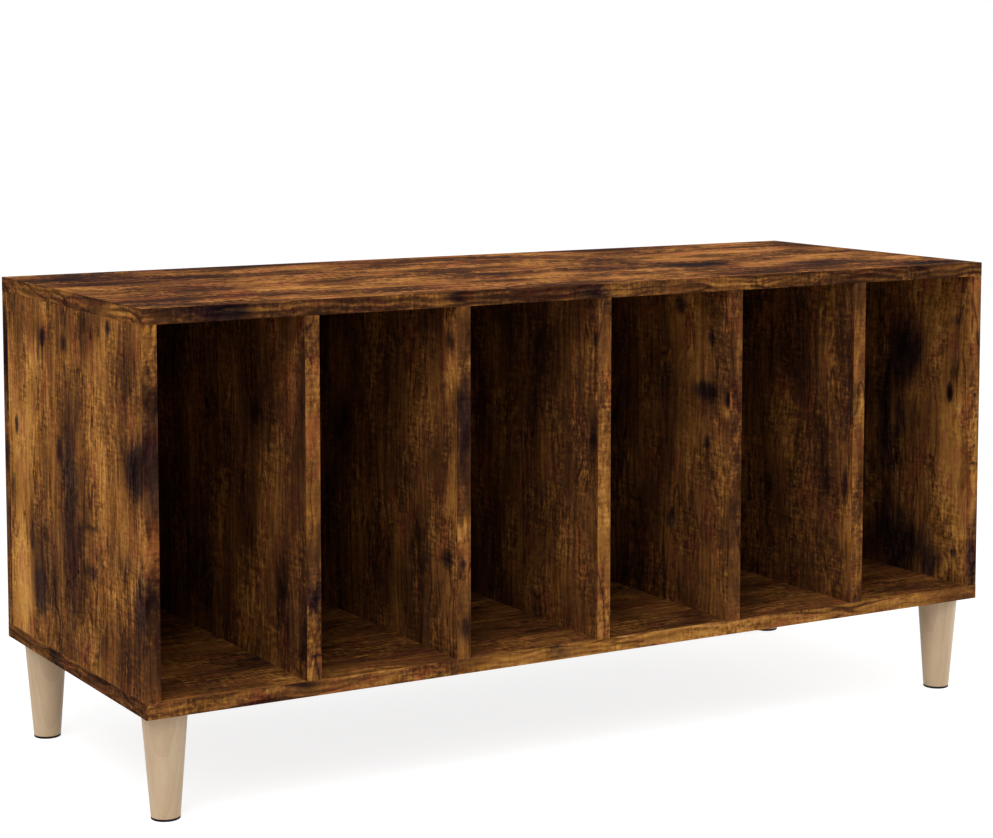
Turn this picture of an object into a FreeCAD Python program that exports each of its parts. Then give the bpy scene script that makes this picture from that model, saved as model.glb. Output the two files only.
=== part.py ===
import FreeCAD, Part
import math
import os

from FreeCAD import Vector

# Record cabinet: a low case of printed boards on four turned legs, with upright slots for records.
# Millimetres. +X is to the right seen from the front, +Y to the back, +Z up.
# The origin is on the floor, under the middle of the case.

# Driving dimensions of the case
CABINET_WIDTH = 1000.0
CABINET_DEPTH = 380.0
BOARD_THICKNESS = 15.0
SLOT_HEIGHT = 350.0
SLOT_COUNT = 6

# Edge bands, glued to the cut edges of the boards
BAND_THICKNESS = 0.8
BAND_ROUND_SHARE = 0.5  # of the band's thickness, on its two long outer edges

# Legs, with the glides nailed under them
LEG_LENGTH = 102.0
LEG_TOP_DIAMETER = 44.0
LEG_FOOT_DIAMETER = 28.0
LEG_INSET = 30.0  # from the case's outer faces to a leg's axis
LEG_EDGE_CHAMFER = 0.6
GLIDE_THICKNESS = 2.0
GLIDE_EDGE_CHAMFER = 0.5
NAIL_DIAMETER = 2.5
NAIL_LENGTH = 16.0
NAIL_HEAD_DIAMETER = 7.0
NAIL_HEAD_THICKNESS = 0.8
NAIL_RECESS = 0.5  # from the glide's lower face to the nail's head

# Hanger bolts in the legs, and the threaded inserts that take them
HANGER_BOLT_DIAMETER = 8.0
HANGER_BOLT_IN_LEG = 30.0
HANGER_BOLT_CHAMFER = 1.0
INSERT_DIAMETER = 12.0
INSERT_COVER = 3.0  # of the bottom board left over the insert
INSERT_CHAMFER = 0.5

# Dowels between the uprights and the top and bottom boards
DOWEL_DIAMETER = 8.0
DOWEL_IN_UPRIGHT = 20.0
DOWEL_COVER = 5.0  # of the top or bottom board left past the dowel
DOWEL_CHAMFER = 1.0
DOWEL_ROW = 82.0  # from an upright's front or rear edge

# Cam bolts in the top board, the cam locks that grip them, and the caps over the locks
CAM_ROW = 50.0  # from an upright's front or rear edge
CAM_SETBACK = 34.0  # from an upright's top end to the lock's axis
CAM_DIAMETER = 15.0
CAM_COVER = 2.5  # of the upright left behind the lock
CAM_BOLT_COVER = 4.0  # of the top board left over the bolt
CAM_BOLT_THREAD_DIAMETER = 6.0
CAM_BOLT_SHANK_DIAMETER = 4.5
CAM_BOLT_HEAD_DIAMETER = 6.6
CAM_BOLT_HEAD_LENGTH = 4.0
CAM_DRIVE_LENGTH = 8.0
CAM_DRIVE_WIDTH = 1.6
CAM_DRIVE_DEPTH = 2.0
CAP_DIAMETER = 17.5
CAP_THICKNESS = 0.6
CAP_CHAMFER = 0.3

# Screws up through the bottom board
BOTTOM_SCREW_ROW = 114.0  # from an upright's front or rear edge
BOTTOM_SCREW_HEAD_DIAMETER = 10.0
BOTTOM_SCREW_HEAD_HEIGHT = 2.5
BOTTOM_SCREW_SHANK_DIAMETER = 7.0
BOTTOM_SCREW_THREAD_DIAMETER = 5.6
BOTTOM_SCREW_IN_UPRIGHT = 35.0
BOTTOM_SCREW_TIP = 3.0
HEX_KEY = 4.0  # across the flats of the socket in the head
HEX_KEY_DEPTH = 2.0

# Screws through the back board
BACK_SCREW_HEIGHT_SHARES = (0.12, 0.5, 0.88)  # of the slot's height
BACK_SCREW_HEAD_DIAMETER = 8.0
BACK_SCREW_HEAD_HEIGHT = 2.4
BACK_SCREW_SHANK_DIAMETER = 4.0
BACK_SCREW_IN_UPRIGHT = 22.0
BACK_SCREW_TIP = 4.0
CROSS_DRIVE_LENGTH = 4.4
CROSS_DRIVE_WIDTH = 1.0
CROSS_DRIVE_DEPTH = 1.5

# Fits
FIT_CLEARANCE = 0.1  # round a fastener in its hole, on every side
CUT_OVERRUN = 1.0  # how far a cutting shape runs past the face that it opens

# Levels and planes that follow from the driving dimensions
LEFT = -CABINET_WIDTH / 2
RIGHT = CABINET_WIDTH / 2
FRONT = -CABINET_DEPTH / 2
REAR = CABINET_DEPTH / 2
BOTTOM_BOARD_UNDERSIDE = GLIDE_THICKNESS + LEG_LENGTH
SLOT_FLOOR = BOTTOM_BOARD_UNDERSIDE + BOARD_THICKNESS
SLOT_CEILING = SLOT_FLOOR + SLOT_HEIGHT
TOP = SLOT_CEILING + BOARD_THICKNESS
BACK_BOARD_FRONT = REAR - BOARD_THICKNESS
UPRIGHT_PITCH = (CABINET_WIDTH - BOARD_THICKNESS) / SLOT_COUNT

ALONG_X = Vector(1, 0, 0)
ALONG_Y = Vector(0, 1, 0)
ALONG_Z = Vector(0, 0, 1)


# The seven uprights: their names, and the X of the middle of each board, from left to right
def upright_middles():
    names = ["left_side"] + [f"divider_{i}" for i in range(1, SLOT_COUNT)] + ["right_side"]
    first = LEFT + BOARD_THICKNESS / 2
    return {name: first + i * UPRIGHT_PITCH for i, name in enumerate(names)}


UPRIGHTS = upright_middles()


# Shapes that the pieces are built from
def block(x_low, x_high, y_low, y_high, z_low, z_high):
    return Part.makeBox(x_high - x_low, y_high - y_low, z_high - z_low, Vector(x_low, y_low, z_low))


def rod(diameter, start, direction, length):
    return Part.makeCylinder(diameter / 2, length, start, direction)


def taper(start_diameter, end_diameter, start, direction, length):
    return Part.makeCone(start_diameter / 2, end_diameter / 2, length, start, direction)


def chamfered_rod(diameter, start, direction, length, chamfer):
    """A rod whose two ends are chamfered."""
    narrow = diameter - 2 * chamfer
    far = start + direction * (length - chamfer)
    body = rod(diameter, start + direction * chamfer, direction, length - 2 * chamfer)
    ends = [
        taper(narrow, diameter, start, direction, chamfer),
        taper(diameter, narrow, far, direction, chamfer),
    ]
    return solid(body.multiFuse(ends))


def cross_bars(centre, direction, length, width, depth):
    """Two crossed bars that reach from centre along direction, for a driver's recess."""
    side = ALONG_Z if direction.x or direction.y else ALONG_X
    other = direction.cross(side)
    bars = []
    for along, across in ((side, other), (other, side)):
        corner = centre - along * (length / 2) - across * (width / 2)
        face = Part.Face(
            Part.makePolygon(
                [
                    corner,
                    corner + along * length,
                    corner + along * length + across * width,
                    corner + across * width,
                    corner,
                ]
            )
        )
        bars.append(face.extrude(direction * depth))
    return bars[0].fuse(bars[1])


def hexagon_bar(centre, direction, across_flats, depth):
    """A six-sided bar that reaches from centre along direction, for a key's socket."""
    radius = across_flats / (2 * math.cos(math.pi / 6))
    corners = []
    for i in range(7):
        turn = i * math.pi / 3
        corners.append(centre + Vector(radius * math.cos(turn), radius * math.sin(turn), 0))
    return Part.Face(Part.makePolygon(corners)).extrude(direction * depth)


def solid(shape):
    """The one solid of a shape that cutting or fusing has wrapped, with its split faces joined."""
    return shape.removeSplitter().Solids[0]


def save(node, *solids):
    shape = solids[0] if len(solids) == 1 else Part.makeCompound(solids)
    shape.exportStep(f"parts/{node}.step")


# Where the fasteners sit
def rows(setback):
    """The two Y places at a setback from an upright's front and rear edges."""
    return (FRONT + setback, BACK_BOARD_FRONT - setback)


def places(setback, height):
    """A point at each upright's middle and at both rows, at one height."""
    return [Vector(x, y, height) for x in UPRIGHTS.values() for y in rows(setback)]


def back_screw_places():
    heights = [SLOT_FLOOR + share * SLOT_HEIGHT for share in BACK_SCREW_HEIGHT_SHARES]
    return [Vector(x, REAR, z) for x in UPRIGHTS.values() for z in heights]


def leg_axes():
    """The legs' names, and the point on the floor under each."""
    axes = {}
    for end, y in (("front", FRONT + LEG_INSET), ("rear", REAR - LEG_INSET)):
        for side, x in (("left", LEFT + LEG_INSET), ("right", RIGHT - LEG_INSET)):
            axes[f"{end}_{side}"] = Vector(x, y, 0)
    return axes


def lock_side(name):
    """The direction in which an upright's cam locks face: into the case, or to the right on a divider."""
    return -ALONG_X if name == "right_side" else ALONG_X


def lock_places():
    """For each cam lock, the middle of its mouth on the upright's face, and the way it faces."""
    found = []
    for name, x in UPRIGHTS.items():
        facing = lock_side(name)
        for y in rows(CAM_ROW):
            middle = Vector(x, y, SLOT_CEILING - CAM_SETBACK)
            found.append((middle + facing * (BOARD_THICKNESS / 2), facing))
    return found


# Holes, each a little wider than what goes in it
def hole(diameter, start, direction, depth):
    """A hole that opens at start and goes in along direction."""
    wide = diameter + 2 * FIT_CLEARANCE
    return rod(wide, start - direction * CUT_OVERRUN, direction, depth + CUT_OVERRUN)


def countersink(head_diameter, shank_diameter, head_height, start, direction):
    """The cone that a screw's head sits in."""
    wide = head_diameter + 2 * FIT_CLEARANCE
    narrow = shank_diameter + 2 * FIT_CLEARANCE
    return taper(wide, narrow, start, direction, head_height)


def dowel_holes(level, direction, depth):
    return [hole(DOWEL_DIAMETER, p, direction, depth) for p in places(DOWEL_ROW, level)]


DOWEL_IN_BOARD = BOARD_THICKNESS - DOWEL_COVER
CAM_BOLT_IN_TOP = BOARD_THICKNESS - CAM_BOLT_COVER
CAM_POCKET_HALF = CAM_BOLT_HEAD_DIAMETER / 2 + FIT_CLEARANCE
CAM_BOLT_IN_UPRIGHT = CAM_SETBACK - CAM_POCKET_HALF + FIT_CLEARANCE + CAM_BOLT_HEAD_LENGTH
CAM_LOCK_DEPTH = BOARD_THICKNESS - CAM_COVER
INSERT_LENGTH = BOARD_THICKNESS - INSERT_COVER


# Boards
def top_panel():
    board = block(
        LEFT + BAND_THICKNESS,
        RIGHT - BAND_THICKNESS,
        FRONT + BAND_THICKNESS,
        REAR - BAND_THICKNESS,
        SLOT_CEILING,
        TOP,
    )
    holes = dowel_holes(SLOT_CEILING, ALONG_Z, DOWEL_IN_BOARD + FIT_CLEARANCE)
    for place in places(CAM_ROW, SLOT_CEILING):
        holes.append(hole(CAM_BOLT_THREAD_DIAMETER, place, ALONG_Z, CAM_BOLT_IN_TOP + FIT_CLEARANCE))
    return solid(board.cut(holes))


def bottom_panel():
    board = block(
        LEFT + BAND_THICKNESS,
        RIGHT - BAND_THICKNESS,
        FRONT + BAND_THICKNESS,
        REAR - BAND_THICKNESS,
        BOTTOM_BOARD_UNDERSIDE,
        SLOT_FLOOR,
    )
    holes = dowel_holes(SLOT_FLOOR, -ALONG_Z, DOWEL_IN_BOARD + FIT_CLEARANCE)
    for place in places(BOTTOM_SCREW_ROW, BOTTOM_BOARD_UNDERSIDE):
        holes.append(hole(BOTTOM_SCREW_SHANK_DIAMETER, place, ALONG_Z, BOARD_THICKNESS + CUT_OVERRUN))
        holes.append(
            countersink(
                BOTTOM_SCREW_HEAD_DIAMETER,
                BOTTOM_SCREW_SHANK_DIAMETER,
                BOTTOM_SCREW_HEAD_HEIGHT,
                place,
                ALONG_Z,
            )
        )
    for axis in leg_axes().values():
        mouth = axis + ALONG_Z * BOTTOM_BOARD_UNDERSIDE
        holes.append(hole(INSERT_DIAMETER, mouth, ALONG_Z, INSERT_LENGTH + FIT_CLEARANCE))
    return solid(board.cut(holes))


def back_panel():
    board = block(
        LEFT + BAND_THICKNESS,
        RIGHT - BAND_THICKNESS,
        BACK_BOARD_FRONT,
        REAR,
        SLOT_FLOOR,
        SLOT_CEILING,
    )
    holes = []
    for place in back_screw_places():
        holes.append(hole(BACK_SCREW_SHANK_DIAMETER, place, -ALONG_Y, BOARD_THICKNESS + CUT_OVERRUN))
        holes.append(
            countersink(
                BACK_SCREW_HEAD_DIAMETER,
                BACK_SCREW_SHANK_DIAMETER,
                BACK_SCREW_HEAD_HEIGHT,
                place,
                -ALONG_Y,
            )
        )
    return solid(board.cut(holes))


def upright(name, middle):
    """A side board or a divider, bored for its dowels, cam bolts, cam locks and screws."""
    half = BOARD_THICKNESS / 2
    board = block(
        middle - half,
        middle + half,
        FRONT + BAND_THICKNESS,
        BACK_BOARD_FRONT,
        SLOT_FLOOR,
        SLOT_CEILING,
    )
    facing = lock_side(name)
    dowel_depth = DOWEL_IN_UPRIGHT + FIT_CLEARANCE
    holes = []
    for y in rows(DOWEL_ROW):
        holes.append(hole(DOWEL_DIAMETER, Vector(middle, y, SLOT_CEILING), -ALONG_Z, dowel_depth))
        holes.append(hole(DOWEL_DIAMETER, Vector(middle, y, SLOT_FLOOR), ALONG_Z, dowel_depth))
    for y in rows(CAM_ROW):
        end = Vector(middle, y, SLOT_CEILING)
        mouth = end - ALONG_Z * CAM_SETBACK + facing * half
        holes.append(hole(CAM_BOLT_HEAD_DIAMETER, end, -ALONG_Z, CAM_SETBACK))
        holes.append(hole(CAM_DIAMETER, mouth, -facing, CAM_LOCK_DEPTH))
    for y in rows(BOTTOM_SCREW_ROW):
        end = Vector(middle, y, SLOT_FLOOR)
        depth = BOTTOM_SCREW_IN_UPRIGHT + FIT_CLEARANCE
        holes.append(hole(BOTTOM_SCREW_THREAD_DIAMETER, end, ALONG_Z, depth))
    for share in BACK_SCREW_HEIGHT_SHARES:
        edge = Vector(middle, BACK_BOARD_FRONT, SLOT_FLOOR + share * SLOT_HEIGHT)
        depth = BACK_SCREW_IN_UPRIGHT + FIT_CLEARANCE
        holes.append(hole(BACK_SCREW_SHANK_DIAMETER, edge, -ALONG_Y, depth))
    return solid(board.cut(holes))


# Edge bands
def edge_band(x_low, x_high, y_low, y_high, z_low, z_high, outward, along):
    """A strip whose two long edges on its outer face are rounded."""
    strip = block(x_low, x_high, y_low, y_high, z_low, z_high)
    centre = strip.CenterOfMass
    long_edges = []
    for edge in strip.Edges:
        offset = edge.CenterOfMass - centre
        run = edge.Vertexes[1].Point - edge.Vertexes[0].Point
        if run.dot(along) and offset.dot(outward) > 0:
            long_edges.append(edge)
    return strip.makeFillet(BAND_ROUND_SHARE * BAND_THICKNESS, long_edges)


def all_round_bands(z_low, z_high):
    """The four bands round the top or the bottom board: front, rear, left and right."""
    front_in = FRONT + BAND_THICKNESS
    rear_in = REAR - BAND_THICKNESS
    left_in = LEFT + BAND_THICKNESS
    right_in = RIGHT - BAND_THICKNESS
    return [
        edge_band(LEFT, RIGHT, FRONT, front_in, z_low, z_high, -ALONG_Y, ALONG_X),
        edge_band(LEFT, RIGHT, rear_in, REAR, z_low, z_high, ALONG_Y, ALONG_X),
        edge_band(LEFT, left_in, front_in, rear_in, z_low, z_high, -ALONG_X, ALONG_Y),
        edge_band(right_in, RIGHT, front_in, rear_in, z_low, z_high, ALONG_X, ALONG_Y),
    ]


def back_bands():
    """The two bands on the back board's ends, which show behind the sides."""
    left_in = LEFT + BAND_THICKNESS
    right_in = RIGHT - BAND_THICKNESS
    return [
        edge_band(LEFT, left_in, BACK_BOARD_FRONT, REAR, SLOT_FLOOR, SLOT_CEILING, -ALONG_X, ALONG_Z),
        edge_band(right_in, RIGHT, BACK_BOARD_FRONT, REAR, SLOT_FLOOR, SLOT_CEILING, ALONG_X, ALONG_Z),
    ]


def upright_band(middle):
    half = BOARD_THICKNESS / 2
    front_in = FRONT + BAND_THICKNESS
    return edge_band(
        middle - half, middle + half, FRONT, front_in, SLOT_FLOOR, SLOT_CEILING, -ALONG_Y, ALONG_Z
    )


# Legs and what holds them
def leg(axis):
    foot = axis + ALONG_Z * GLIDE_THICKNESS
    head = axis + ALONG_Z * BOTTOM_BOARD_UNDERSIDE
    turned = taper(LEG_FOOT_DIAMETER, LEG_TOP_DIAMETER, foot, ALONG_Z, LEG_LENGTH)
    rims = [edge for edge in turned.Edges if edge.Closed and edge.Curve.TypeId == "Part::GeomCircle"]
    turned = turned.makeChamfer(LEG_EDGE_CHAMFER, rims)
    bolt_hole = hole(HANGER_BOLT_DIAMETER, head, -ALONG_Z, HANGER_BOLT_IN_LEG + FIT_CLEARANCE)
    nail_hole = hole(NAIL_DIAMETER, foot, ALONG_Z, NAIL_LENGTH - nail_in_glide() + FIT_CLEARANCE)
    return solid(turned.cut([bolt_hole, nail_hole]))


def nail_in_glide():
    """The length of a nail's shank inside the glide."""
    return GLIDE_THICKNESS - NAIL_RECESS - NAIL_HEAD_THICKNESS


def glide(axis):
    """A thin disc, chamfered at the floor, with a recess for the nail's head."""
    narrow = LEG_FOOT_DIAMETER - 2 * GLIDE_EDGE_CHAMFER
    rim = axis + ALONG_Z * GLIDE_EDGE_CHAMFER
    disc = rod(LEG_FOOT_DIAMETER, rim, ALONG_Z, GLIDE_THICKNESS - GLIDE_EDGE_CHAMFER)
    edge = taper(narrow, LEG_FOOT_DIAMETER, axis, ALONG_Z, GLIDE_EDGE_CHAMFER)
    recess = hole(NAIL_HEAD_DIAMETER, axis, ALONG_Z, NAIL_RECESS + NAIL_HEAD_THICKNESS)
    shank = hole(NAIL_DIAMETER, axis, ALONG_Z, GLIDE_THICKNESS + CUT_OVERRUN)
    return solid(disc.fuse(edge).cut([recess, shank]))


def glide_nail(axis):
    head_face = axis + ALONG_Z * NAIL_RECESS
    neck = head_face + ALONG_Z * NAIL_HEAD_THICKNESS
    head = rod(NAIL_HEAD_DIAMETER, head_face, ALONG_Z, NAIL_HEAD_THICKNESS)
    point = neck + ALONG_Z * (NAIL_LENGTH - NAIL_DIAMETER)
    shank = rod(NAIL_DIAMETER, neck, ALONG_Z, NAIL_LENGTH - NAIL_DIAMETER)
    tip = Part.makeCone(NAIL_DIAMETER / 2, 0, NAIL_DIAMETER, point, ALONG_Z)
    return solid(head.multiFuse([shank, tip]))


def hanger_bolt(axis):
    start = axis + ALONG_Z * (BOTTOM_BOARD_UNDERSIDE - HANGER_BOLT_IN_LEG)
    length = HANGER_BOLT_IN_LEG + INSERT_LENGTH
    return chamfered_rod(HANGER_BOLT_DIAMETER, start, ALONG_Z, length, HANGER_BOLT_CHAMFER)


def insert_nut(axis):
    mouth = axis + ALONG_Z * BOTTOM_BOARD_UNDERSIDE
    sleeve = chamfered_rod(INSERT_DIAMETER, mouth, ALONG_Z, INSERT_LENGTH, INSERT_CHAMFER)
    return solid(sleeve.cut(hole(HANGER_BOLT_DIAMETER, mouth, ALONG_Z, INSERT_LENGTH + CUT_OVERRUN)))


# Dowels
def dowel(start):
    length = DOWEL_IN_UPRIGHT + DOWEL_IN_BOARD
    return chamfered_rod(DOWEL_DIAMETER, start, ALONG_Z, length, DOWEL_CHAMFER)


def top_dowels():
    return [dowel(p) for p in places(DOWEL_ROW, SLOT_CEILING - DOWEL_IN_UPRIGHT)]


def bottom_dowels():
    return [dowel(p) for p in places(DOWEL_ROW, SLOT_FLOOR - DOWEL_IN_BOARD)]


# Cam fittings
def cam_bolt(place):
    """A bolt screwed up into the top board, whose head hangs in the lock."""
    head_end = place - ALONG_Z * CAM_BOLT_IN_UPRIGHT
    shank_start = head_end + ALONG_Z * CAM_BOLT_HEAD_LENGTH
    shank_length = CAM_BOLT_IN_UPRIGHT - CAM_BOLT_HEAD_LENGTH
    head = rod(CAM_BOLT_HEAD_DIAMETER, head_end, ALONG_Z, CAM_BOLT_HEAD_LENGTH)
    shank = rod(CAM_BOLT_SHANK_DIAMETER, shank_start, ALONG_Z, shank_length)
    thread = rod(CAM_BOLT_THREAD_DIAMETER, place, ALONG_Z, CAM_BOLT_IN_TOP)
    return solid(head.multiFuse([shank, thread]))


def cam_lock(mouth, facing):
    """A round lock with a pocket for the bolt's head, a slot for its shank, and a driver's cross."""
    inward = -facing
    body = rod(CAM_DIAMETER, mouth, inward, CAM_LOCK_DEPTH)
    centre = mouth + inward * (BOARD_THICKNESS / 2)
    reach = CAM_DIAMETER / 2 + CUT_OVERRUN
    half_slot = CAM_BOLT_SHANK_DIAMETER / 2 + FIT_CLEARANCE
    pocket = block(
        centre.x - CAM_POCKET_HALF,
        centre.x + CAM_POCKET_HALF,
        centre.y - CAM_POCKET_HALF,
        centre.y + reach,
        centre.z - CAM_POCKET_HALF,
        centre.z + CAM_POCKET_HALF,
    )
    slot = block(
        centre.x - half_slot,
        centre.x + half_slot,
        centre.y - half_slot,
        centre.y + reach,
        centre.z,
        centre.z + reach,
    )
    drive = cross_bars(mouth, inward, CAM_DRIVE_LENGTH, CAM_DRIVE_WIDTH, CAM_DRIVE_DEPTH)
    return solid(body.cut([pocket, slot, drive]))


def cam_cover_cap(mouth, facing):
    """A flat cap on the upright's face, held by a cross that sits in the lock's drive."""
    disc = rod(CAP_DIAMETER, mouth, facing, CAP_THICKNESS - CAP_CHAMFER)
    rim = mouth + facing * (CAP_THICKNESS - CAP_CHAMFER)
    edge = taper(CAP_DIAMETER, CAP_DIAMETER - 2 * CAP_CHAMFER, rim, facing, CAP_CHAMFER)
    stem = cross_bars(
        mouth,
        -facing,
        CAM_DRIVE_LENGTH - 2 * FIT_CLEARANCE,
        CAM_DRIVE_WIDTH - 2 * FIT_CLEARANCE,
        CAM_DRIVE_DEPTH - FIT_CLEARANCE,
    )
    return solid(disc.multiFuse([edge, stem]))


# Screws
def bottom_screw(place):
    """A screw up through the bottom board, with a key's socket in its countersunk head."""
    shank_start = place + ALONG_Z * BOTTOM_SCREW_HEAD_HEIGHT
    thread_start = place + ALONG_Z * BOARD_THICKNESS
    thread_length = BOTTOM_SCREW_IN_UPRIGHT - BOTTOM_SCREW_TIP
    tip_start = thread_start + ALONG_Z * thread_length
    head = taper(
        BOTTOM_SCREW_HEAD_DIAMETER, BOTTOM_SCREW_SHANK_DIAMETER, place, ALONG_Z, BOTTOM_SCREW_HEAD_HEIGHT
    )
    shank = rod(
        BOTTOM_SCREW_SHANK_DIAMETER, shank_start, ALONG_Z, BOARD_THICKNESS - BOTTOM_SCREW_HEAD_HEIGHT
    )
    thread = rod(BOTTOM_SCREW_THREAD_DIAMETER, thread_start, ALONG_Z, thread_length)
    tip = Part.makeCone(BOTTOM_SCREW_THREAD_DIAMETER / 2, 0, BOTTOM_SCREW_TIP, tip_start, ALONG_Z)
    socket = hexagon_bar(place, ALONG_Z, HEX_KEY, HEX_KEY_DEPTH)
    return solid(head.multiFuse([shank, thread, tip]).cut(socket))


def back_screw(place):
    """A screw through the back board, with a driver's cross in its countersunk head."""
    inward = -ALONG_Y
    shank_start = place + inward * BACK_SCREW_HEAD_HEIGHT
    tip_start = place + inward * (BOARD_THICKNESS + BACK_SCREW_IN_UPRIGHT - BACK_SCREW_TIP)
    shank_length = BOARD_THICKNESS + BACK_SCREW_IN_UPRIGHT - BACK_SCREW_TIP - BACK_SCREW_HEAD_HEIGHT
    head = taper(
        BACK_SCREW_HEAD_DIAMETER, BACK_SCREW_SHANK_DIAMETER, place, inward, BACK_SCREW_HEAD_HEIGHT
    )
    shank = rod(BACK_SCREW_SHANK_DIAMETER, shank_start, inward, shank_length)
    tip = Part.makeCone(BACK_SCREW_SHANK_DIAMETER / 2, 0, BACK_SCREW_TIP, tip_start, inward)
    drive = cross_bars(place, inward, CROSS_DRIVE_LENGTH, CROSS_DRIVE_WIDTH, CROSS_DRIVE_DEPTH)
    return solid(head.multiFuse([shank, tip]).cut(drive))


# The whole cabinet, one file for each piece or group of like fasteners
os.makedirs("parts", exist_ok=True)

save("top_panel", top_panel())
save("top_edge_bands", *all_round_bands(SLOT_CEILING, TOP))
save("bottom_panel", bottom_panel())
save("bottom_edge_bands", *all_round_bands(BOTTOM_BOARD_UNDERSIDE, SLOT_FLOOR))
save("back_panel", back_panel())
save("back_edge_bands", *back_bands())

for name, middle in UPRIGHTS.items():
    board_name = name if name.startswith("divider") else f"{name}_panel"
    save(board_name, upright(name, middle))
    save(f"{name}_edge_band", upright_band(middle))

for name, axis in leg_axes().items():
    save(f"leg_{name}", leg(axis))
    save(f"glide_{name}", glide(axis))

save("glide_nails", *[glide_nail(axis) for axis in leg_axes().values()])
save("leg_hanger_bolts", *[hanger_bolt(axis) for axis in leg_axes().values()])
save("leg_insert_nuts", *[insert_nut(axis) for axis in leg_axes().values()])
save("top_dowels", *top_dowels())
save("bottom_dowels", *bottom_dowels())
save("cam_bolts", *[cam_bolt(p) for p in places(CAM_ROW, SLOT_CEILING)])
save("cam_locks", *[cam_lock(mouth, facing) for mouth, facing in lock_places()])
save("cam_cover_caps", *[cam_cover_cap(mouth, facing) for mouth, facing in lock_places()])
save("bottom_screws", *[bottom_screw(p) for p in places(BOTTOM_SCREW_ROW, BOTTOM_BOARD_UNDERSIDE)])
save("back_screws", *[back_screw(p) for p in back_screw_places()])
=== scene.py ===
import math
import bpy
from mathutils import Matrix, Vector


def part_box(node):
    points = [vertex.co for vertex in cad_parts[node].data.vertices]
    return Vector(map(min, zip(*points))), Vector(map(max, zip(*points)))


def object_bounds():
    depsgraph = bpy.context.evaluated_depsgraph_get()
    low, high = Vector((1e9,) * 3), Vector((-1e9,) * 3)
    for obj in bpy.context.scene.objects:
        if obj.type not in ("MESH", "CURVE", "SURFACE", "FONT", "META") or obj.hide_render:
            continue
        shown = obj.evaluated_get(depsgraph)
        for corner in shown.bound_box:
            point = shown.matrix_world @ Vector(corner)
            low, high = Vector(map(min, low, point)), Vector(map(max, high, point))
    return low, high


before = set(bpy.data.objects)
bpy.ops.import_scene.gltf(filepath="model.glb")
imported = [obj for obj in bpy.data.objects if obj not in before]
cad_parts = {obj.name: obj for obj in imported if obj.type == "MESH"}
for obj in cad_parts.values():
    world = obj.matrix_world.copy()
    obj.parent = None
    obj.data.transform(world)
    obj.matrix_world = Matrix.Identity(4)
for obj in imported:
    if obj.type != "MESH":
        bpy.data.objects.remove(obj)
cad_low, cad_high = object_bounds()

MILLIMETRE = 0.001
QUARTER_TURN = math.radians(90)

# The camera stands to the left of the front and a little above the top board. Its place is in metres and
# its sensor's width in millimetres.
PHOTO_WIDTH_PIXELS = 993
CAMERA_PLACE = (-1.3129, -2.2016, 0.7057)
CAMERA_TURN_DEGREES = 30.512
CAMERA_DIP_DEGREES = 5.438
CAMERA_FOCUS_PIXELS = 2390.8
CAMERA_SENSOR_WIDTH = 36.0
CAMERA_SHIFT = -0.13

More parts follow.
